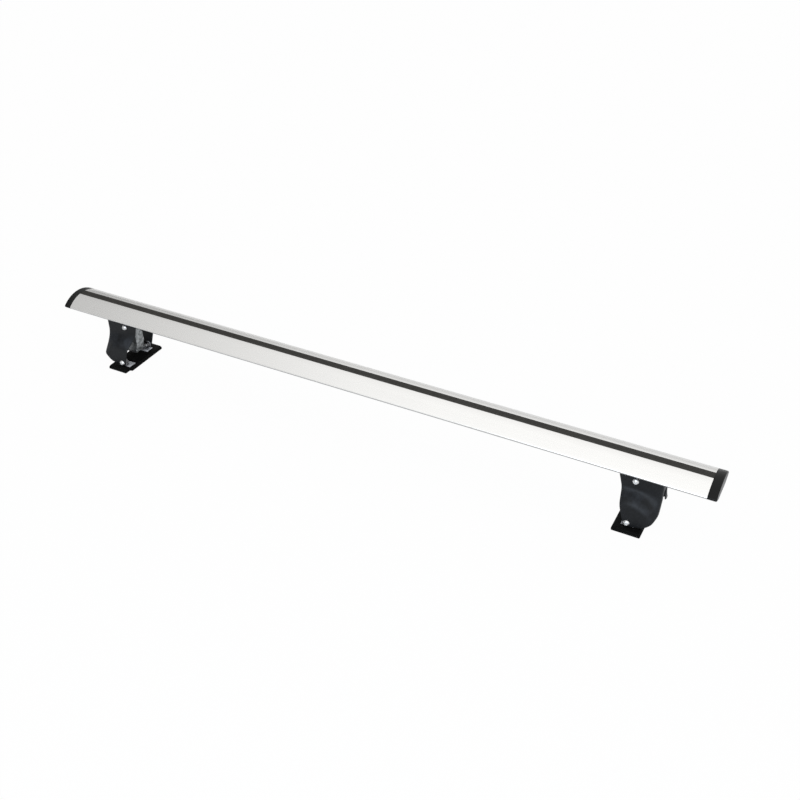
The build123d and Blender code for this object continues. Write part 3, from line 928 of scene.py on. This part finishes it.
def parabola(points, at):
    """Give the value at a place of the parabola through three points."""
    total = 0.0
    for here, value in points:
        share = 1.0
        for other, _ in points:
            if other != here:
                share *= (at - other) / (here - other)
        total += share * value
    return total


def flare_point(place, t):
    """Give the half width and height on the flare, from its top at t = 0 to its end at t = 1."""
    turn, knee, low = (parabola(points, place) for points in (TURN_HEIGHTS, BACK_HEIGHTS, LOW_HEIGHTS))
    s = 1 - t
    out_share = 3 * t * t * s + t ** 3
    height = s ** 3 * SHOULDER_TOP + 3 * s * s * t * turn + 3 * s * t * t * knee + t ** 3 * low
    return HALF_TOP + (HALF_BASE - HALF_TOP) * out_share, height


def wall_point(place, row):
    """Give the half width and height of the wall in one row of the grid."""
    if row < UPRIGHT_ROWS:
        return HALF_TOP, SHELL_TOP + (SHOULDER_TOP - SHELL_TOP) * row / UPRIGHT_ROWS
    row -= UPRIGHT_ROWS
    if row <= FLARE_ROWS:
        return flare_point(place, row / FLARE_ROWS)
    low = parabola(LOW_HEIGHTS, place)
    return HALF_BASE, low + (SKIRT_END - low) * (row - FLARE_ROWS) / SKIRT_ROWS


print("flare ends at", [round(flare_point(place, 1.0)[1], 1) for place in (OUTBOARD, CREST, INBOARD_END)], "mm up")

# %% [markdown]
# Each column of the grid has its place along the bar, an inset where the outboard corner is rounded, and a side, from
# -1 in front to 1 behind. The points could be moved by hand, but a loop is exact. Solidify then thickens the wall
# inwards.

# %% Lay out the shell's wall
SHELL_WALL = 2.5
CORNER_RADIUS = 6.0
CHEEK_COLUMNS, CORNER_COLUMNS, HALF_FACE_COLUMNS = 36, 7, 7

columns = []
corner_start = OUTBOARD + CORNER_RADIUS
for step in range(CHEEK_COLUMNS):
    columns.append((INBOARD_END + (corner_start - INBOARD_END) * step / CHEEK_COLUMNS, 0.0, -1.0))
for step in range(CORNER_COLUMNS):
    angle = math.pi / 2 * step / CORNER_COLUMNS
    inset = CORNER_RADIUS * (1 - math.cos(angle))
    columns.append((corner_start - CORNER_RADIUS * math.sin(angle), inset, -1.0))
for step in range(HALF_FACE_COLUMNS):
    columns.append((OUTBOARD, CORNER_RADIUS, -1.0 + step / HALF_FACE_COLUMNS))
columns += [(OUTBOARD, CORNER_RADIUS, 0.0)] + [(place, inset, -side) for place, inset, side in reversed(columns)]
last_column = len(columns) - 1
last_row = UPRIGHT_ROWS + FLARE_ROWS + SKIRT_ROWS

shell = fresh(bpy.ops.mesh.primitive_grid_add, x_subdivisions=last_column, y_subdivisions=last_row, size=1)
object_mode()
for vertex in shell.data.vertices:
    place, inset, side = columns[round((vertex.co.x + 0.5) * last_column)]
    half, height = wall_point(place, round((0.5 - vertex.co.y) * last_row))
    vertex.co = (FOOT_X - place * mm, side * (half - inset) * mm, height * mm)
front_face = min(shell.data.polygons, key=lambda polygon: polygon.center.y)
if front_face.normal.y > 0:
    edit_all(shell)
    bpy.ops.mesh.flip_normals()
modify(shell, "SOLIDIFY", thickness=SHELL_WALL * mm, offset=-1.0, use_even_offset=True)
print("wall:", len(columns), "columns,", last_row + 1, "rows,", len(shell.data.polygons), "faces")

# %% [markdown]
# A press trims the formed sheet with a die. Here the die is the drawn side outline, which keeps what lies inside it.
# Its lower edge rises from the lower screw's lug to the outboard corner in one shallow arc, and its inboard edge leans
# back to the bar. Single edges could be cut with the knife, but then the inner and outer walls would not agree.

# %% Trim the shell
LUG_RADIUS, PIVOT_HEIGHT, LUG_STEPS = 6.4, 13.0, 10
TOE, BULGE = Vector((-24.0, 11.0)), Vector((-41.5, 31.5))
TOE_ARC_RADIUS, TOE_ARC_STEPS = 50.0, 10
INBOARD_EDGE = ((SHELL_TOP, 26.0), (43.0, 15.0), (PIVOT_HEIGHT, LUG_RADIUS))
INBOARD_STEPS = 24
TOOL_HALF = 60.0


def on_side(place, height):
    """Give a point of the right foot's side view, drawn in front of the foot."""
    return on_foot(place, -TOOL_HALF, height)


chord = BULGE - TOE
inward = Vector((chord.y, -chord.x)).normalized()
arc_centre = (TOE + BULGE) / 2 + inward * math.sqrt(TOE_ARC_RADIUS ** 2 - (chord.length / 2) ** 2)
outline, place = pen(on_side(0, PIVOT_HEIGHT - LUG_RADIUS))
place = lines_to(place, [on_side(*TOE)])
place = arc_to(place, on_side(*BULGE), on_side(*arc_centre), ACROSS, TOE_ARC_STEPS)
far = OUTBOARD - TOOL_MARGIN
high = SHELL_TOP + TOOL_MARGIN
place = lines_to(place, [on_side(far, BULGE.y), on_side(far, high), on_side(INBOARD_EDGE[0][1], high)])
heights = [SHELL_TOP + (PIVOT_HEIGHT - SHELL_TOP) * step / INBOARD_STEPS for step in range(INBOARD_STEPS + 1)]
place = lines_to(place, [on_side(parabola(INBOARD_EDGE, height), height) for height in heights])
arc_to(place, on_side(0, PIVOT_HEIGHT - LUG_RADIUS), on_side(0, PIVOT_HEIGHT), ACROSS, LUG_STEPS)
fill_and_extrude((0, 2 * TOOL_HALF * mm, 0))
cut(shell, outline, "INTERSECT")
print("trimmed shell:", len(shell.data.polygons), "faces")

# %% [markdown]
# A second drawn tool takes the window out of the outboard face and leaves a flange of even width on each side. A plain
# box would leave it wide at the base only. The screws' holes are drilled, and a last weld clears the slivers that the
# cuts leave, before the edges are softened.

# %% Open the window and drill the shell
WINDOW_FLANGE, WINDOW_DROP = 10.0, 3.0
PIVOT_HOLE = 3.05
SLIVER, SPECK = 0.15 * mm, 0.05 * mm
SHELL_EDGE = 0.35

window_side = [(HALF_TOP - WINDOW_FLANGE, SHOULDER_TOP)]
for step in range(FLARE_ROWS + 1):
    half, height = flare_point(OUTBOARD, step / FLARE_ROWS)
    window_side.append((half - WINDOW_FLANGE, height - WINDOW_DROP))
window_side.append((HALF_BASE - WINDOW_FLANGE, 0.0))
window_side += [(-half, height) for half, height in reversed(window_side)]
window_x = FOOT_X - (OUTBOARD + 2 * SHELL_WALL) * mm
loop = [Vector((window_x, half * mm, height * mm)) for half, height in window_side]
window, place = pen(loop[0])
lines_to(place, loop[1:] + loop[:1])
fill_and_extrude(((2 * SHELL_WALL + TOOL_MARGIN) * mm, 0, 0))
cut(shell, window)
for height, radius in ((UPPER_SCREW_HEIGHT, EAR_HOLE), (PIVOT_HEIGHT, PIVOT_HOLE)):
    cut(shell, drill(radius, 0, height, 2 * TOOL_HALF, lying=True))
edit_all(shell)
weld(SLIVER)
bpy.ops.mesh.dissolve_degenerate(threshold=SPECK)
soften(shell, SHELL_EDGE, angle=40)
settle_pair(shell, "pressed_shell", "foot", black_coat, "foot_shell")

# %% [markdown]
# ## Rubber pads
# Each pad is a moulded block with a wider sole, a notch in one corner and a recess that holds the zinc carrier. It
# could start as a cube, but the notch is easier in an outline: six corners are drawn, rounded with a vertex bevel, and
# the face is extruded, inset and extruded again. A wide soft bevel then makes it look moulded and not cut.

# %% Mould the pads
PAD_INBOARD, PAD_OUTBOARD, PAD_HALF = 20.0, -25.0, 50.0
NOTCH_WIDTH, NOTCH_LENGTH = 5.0, 12.0
PAD_SOLE, PAD_HEIGHT, PAD_STEP = 3.5, 6.0, 1.5
PAD_CORNER, CORNER_SEGMENTS = 2.0, 5
RECESS_OUTBOARD, RECESS_INBOARD = -11.2, 14.2
RECESS_START, RECESS_END, RECESS_GAP = 19.8, 36.4, 0.2
RECESS_FLOOR = 4.0
PAD_EDGE = 0.5

corners = (
    (PAD_INBOARD, -PAD_HALF),
    (PAD_OUTBOARD, -PAD_HALF),
    (PAD_OUTBOARD, PAD_HALF),
    (PAD_INBOARD - NOTCH_WIDTH, PAD_HALF),
    (PAD_INBOARD - NOTCH_WIDTH, PAD_HALF - NOTCH_LENGTH),
    (PAD_INBOARD, PAD_HALF - NOTCH_LENGTH),
)
loop = [on_foot(place, across, 0) for place, across in corners]
pad, place = pen(loop[0])
lines_to(place, loop[1:] + loop[:1])
weld()
bpy.ops.mesh.edge_face_add()
bpy.ops.mesh.bevel(offset=PAD_CORNER * mm, segments=CORNER_SEGMENTS, affect="VERTICES")
extrude((0, 0, PAD_SOLE * mm))
bpy.ops.mesh.inset(thickness=PAD_STEP * mm)
extrude((0, 0, (PAD_HEIGHT - PAD_SOLE) * mm))
outward()
for facing in (-1, 1):
    recess_low = (RECESS_OUTBOARD, facing * RECESS_START, RECESS_FLOOR)
    recess_inboard = RECESS_INBOARD if facing > 0 else SHORT_END + RECESS_GAP
    recess_high = (recess_inboard, facing * RECESS_END, PAD_HEIGHT + TOOL_MARGIN)
    cut(pad, block(recess_low, recess_high))
soften(pad, PAD_EDGE, segments=3, angle=40)
settle_pair(pad, "moulded_pad", "pad", pad_rubber, "rubber_pad")

# %% [markdown]
# ## Screws
# The screws have low domed heads with a hexagon socket. A lathe makes the real one, and the spin operator is a lathe:
# half the profile is drawn and swung once round its axis. The socket is then cut with a six-sided tool. One screw
# is modelled for each length, and every place on the feet gets a copy with its own mesh.

# %% Turn the screws
HEAD_RADIUS, HEAD_HEIGHT, HEAD_RIM, CROWN_RADIUS = 5.25, 3.3, 0.8, 2.9
SHANK_RADIUS, TAIL_CHAMFER, SEAT_CHAMFER = 3.0, 0.6, 0.25
SOCKET_CORNER, SOCKET_DEPTH = 2.3, 2.0
LATHE_STEPS, DOME_STEPS, HEXAGON = 48, 8, 6
UPRIGHT = (0, 0, 1)
UPPER_FACE, LOWER_FACE = 17.5, 39.0
UPPER_GRIP, LOWER_GRIP = 11.5, 11.3
SCREW_EDGE = 0.15
SIDES = (("left", -1), ("right", 1))
ROWS = {"upper": ("foot", UPPER_SCREW_HEIGHT), "lower": ("pad", PIVOT_HEIGHT)}


def on_lathe(radius, height):
    """Give a point of a turned profile, with the axis upright at the origin."""
    return Vector((radius * mm, 0, height * mm))


def turned_screw(grip):
    """Turn a button-head screw with its head on the origin's level and its shank below."""
    rim = Vector((HEAD_RADIUS, HEAD_RIM))
    crown = Vector((CROWN_RADIUS, HEAD_HEIGHT))
    chord = crown - rim
    inward = Vector((-chord.y, chord.x)).normalized()
    centre = (rim + crown) / 2 + inward * math.sqrt(HEAD_RADIUS ** 2 - (chord.length / 2) ** 2)
    screw, place = pen(on_lathe(0, -grip))
    shank = [(SHANK_RADIUS - TAIL_CHAMFER, -grip), (SHANK_RADIUS, TAIL_CHAMFER - grip), (SHANK_RADIUS, 0)]
    head = [(HEAD_RADIUS - SEAT_CHAMFER, 0), (HEAD_RADIUS, SEAT_CHAMFER), (HEAD_RADIUS, HEAD_RIM)]
    place = lines_to(place, [on_lathe(*point) for point in shank + head])
    place = arc_to(place, on_lathe(*crown), on_lathe(*centre), ACROSS, DOME_STEPS)
    lines_to(place, [on_lathe(0, HEAD_HEIGHT)])
    bpy.ops.mesh.select_all(action="SELECT")
    bpy.ops.mesh.spin(steps=LATHE_STEPS, angle=2 * math.pi, center=(0, 0, 0), axis=UPRIGHT)
    weld()
    outward()
    cut(screw, rod(HEXAGON, SOCKET_CORNER, 2 * SOCKET_DEPTH, location=on_lathe(0, HEAD_HEIGHT)))
    soften(screw, SCREW_EDGE, angle=30)
    return screw


def settle_row(model, shape, what, material, row, half_gap):
    """Set a model in front of and behind each foot, its axis pointing away, and join each pair."""
    body, height = ROWS[row]
    for side, sign in SIDES:
        copies = []
        for facing in (-1, 1):
            twin = copy_of(model)
            lay = Matrix.Rotation(-facing * math.pi / 2, 4, "X")
            twin.data.transform(Matrix.Translation((sign * FOOT_X, facing * half_gap * mm, height * mm)) @ lay)
            copies.append(twin)
        activate(copies[0])
        copies[1].select_set(True)
        bpy.ops.object.join()
        name, node = f"{row}_{shape}_{what}_{side}", f"{row}_{what}_{side}"
        settle(copies[0], name, f"{body}_{side}", material, node)


for row, grip, half_gap in (("upper", UPPER_GRIP, UPPER_FACE), ("lower", LOWER_GRIP, LOWER_FACE)):
    screw = turned_screw(grip)
    settle_row(screw, "button", "screws", plated_steel, row, half_gap)
    bpy.data.objects.remove(screw)

# %% [markdown]
# ## Nuts
# A hexagon nut is a six-sided prism whose corners are turned off at an angle. Bevelling the prism would round its
# flats as well, so the prism is kept only where it lies inside a turned disc with chamfered rims, and then drilled.

# %% Shape the nuts
NUT_CHAMFER, DISC_SIDES, BORE_SIDES = 0.8, 64, 32
FLAT_END = 0.9
NUT_EDGE = 0.12
NUT_ACROSS, NUT_HEIGHT, NUT_BORE = 10.0, 5.0, 3.05
CLAMP_NUT_ACROSS, CLAMP_NUT_HEIGHT, CLAMP_NUT_BORE = 13.0, 6.5, 4.05
UPPER_NUT_FACE, LOWER_NUT_FACE = 12.5, 34.2
CLAMP_NUT_TOP = 80.9


def hexagon_nut(across, height, bore):
    """Shape a nut with its top face at the origin's level and its body below."""
    corner = across / math.sqrt(3)
    middle = (0, 0, -height / 2 * mm)
    nut = rod(HEXAGON, corner, height, location=middle, rotation=(0, 0, math.pi / 6))
    disc = rod(DISC_SIDES, corner, height, location=middle)
    bevel_picked(disc, "FACE", lambda face: abs(face.normal.z) > FLAT_END, NUT_CHAMFER, segments=1)
    cut(nut, disc, "INTERSECT")
    cut(nut, rod(BORE_SIDES, bore, 3 * height, location=middle))
    activate(nut)
    bpy.ops.object.transform_apply(location=True, rotation=True, scale=True)
    soften(nut, NUT_EDGE, angle=20)
    return nut


nut = hexagon_nut(NUT_ACROSS, NUT_HEIGHT, NUT_BORE)
for row, half_gap in (("upper", UPPER_NUT_FACE), ("lower", LOWER_NUT_FACE)):
    settle_row(nut, "hexagon", "nuts", steel_in_painted_shade, row, half_gap)
bpy.data.objects.remove(nut)
clamp_nut = hexagon_nut(CLAMP_NUT_ACROSS, CLAMP_NUT_HEIGHT, CLAMP_NUT_BORE)
for side, sign in SIDES:
    twin = copy_of(clamp_nut)
    twin.data.transform(Matrix.Translation((sign * (FOOT_X + CLAMP_OUTBOARD * mm), 0, CLAMP_NUT_TOP * mm)))
    settle(twin, f"clamp_nut_{side}", f"foot_{side}", steel_in_painted_shade, f"t_bolt_nut_{side}")
bpy.data.objects.remove(clamp_nut)

# %% [markdown]
# ## What stays as it is
# The T-bolts and their washers sit deep in the feet, where hardly a view reaches. Finer ones could be turned too, but
# nobody would see them, so their solids stay and only get the bright steel.

# %% Dress the solids that stay
for name, piece in nodes.items():
    if not piece.hide_render:
        piece.data.materials.clear()
        piece.data.materials.append(plated_steel)
        print("kept solid:", name)
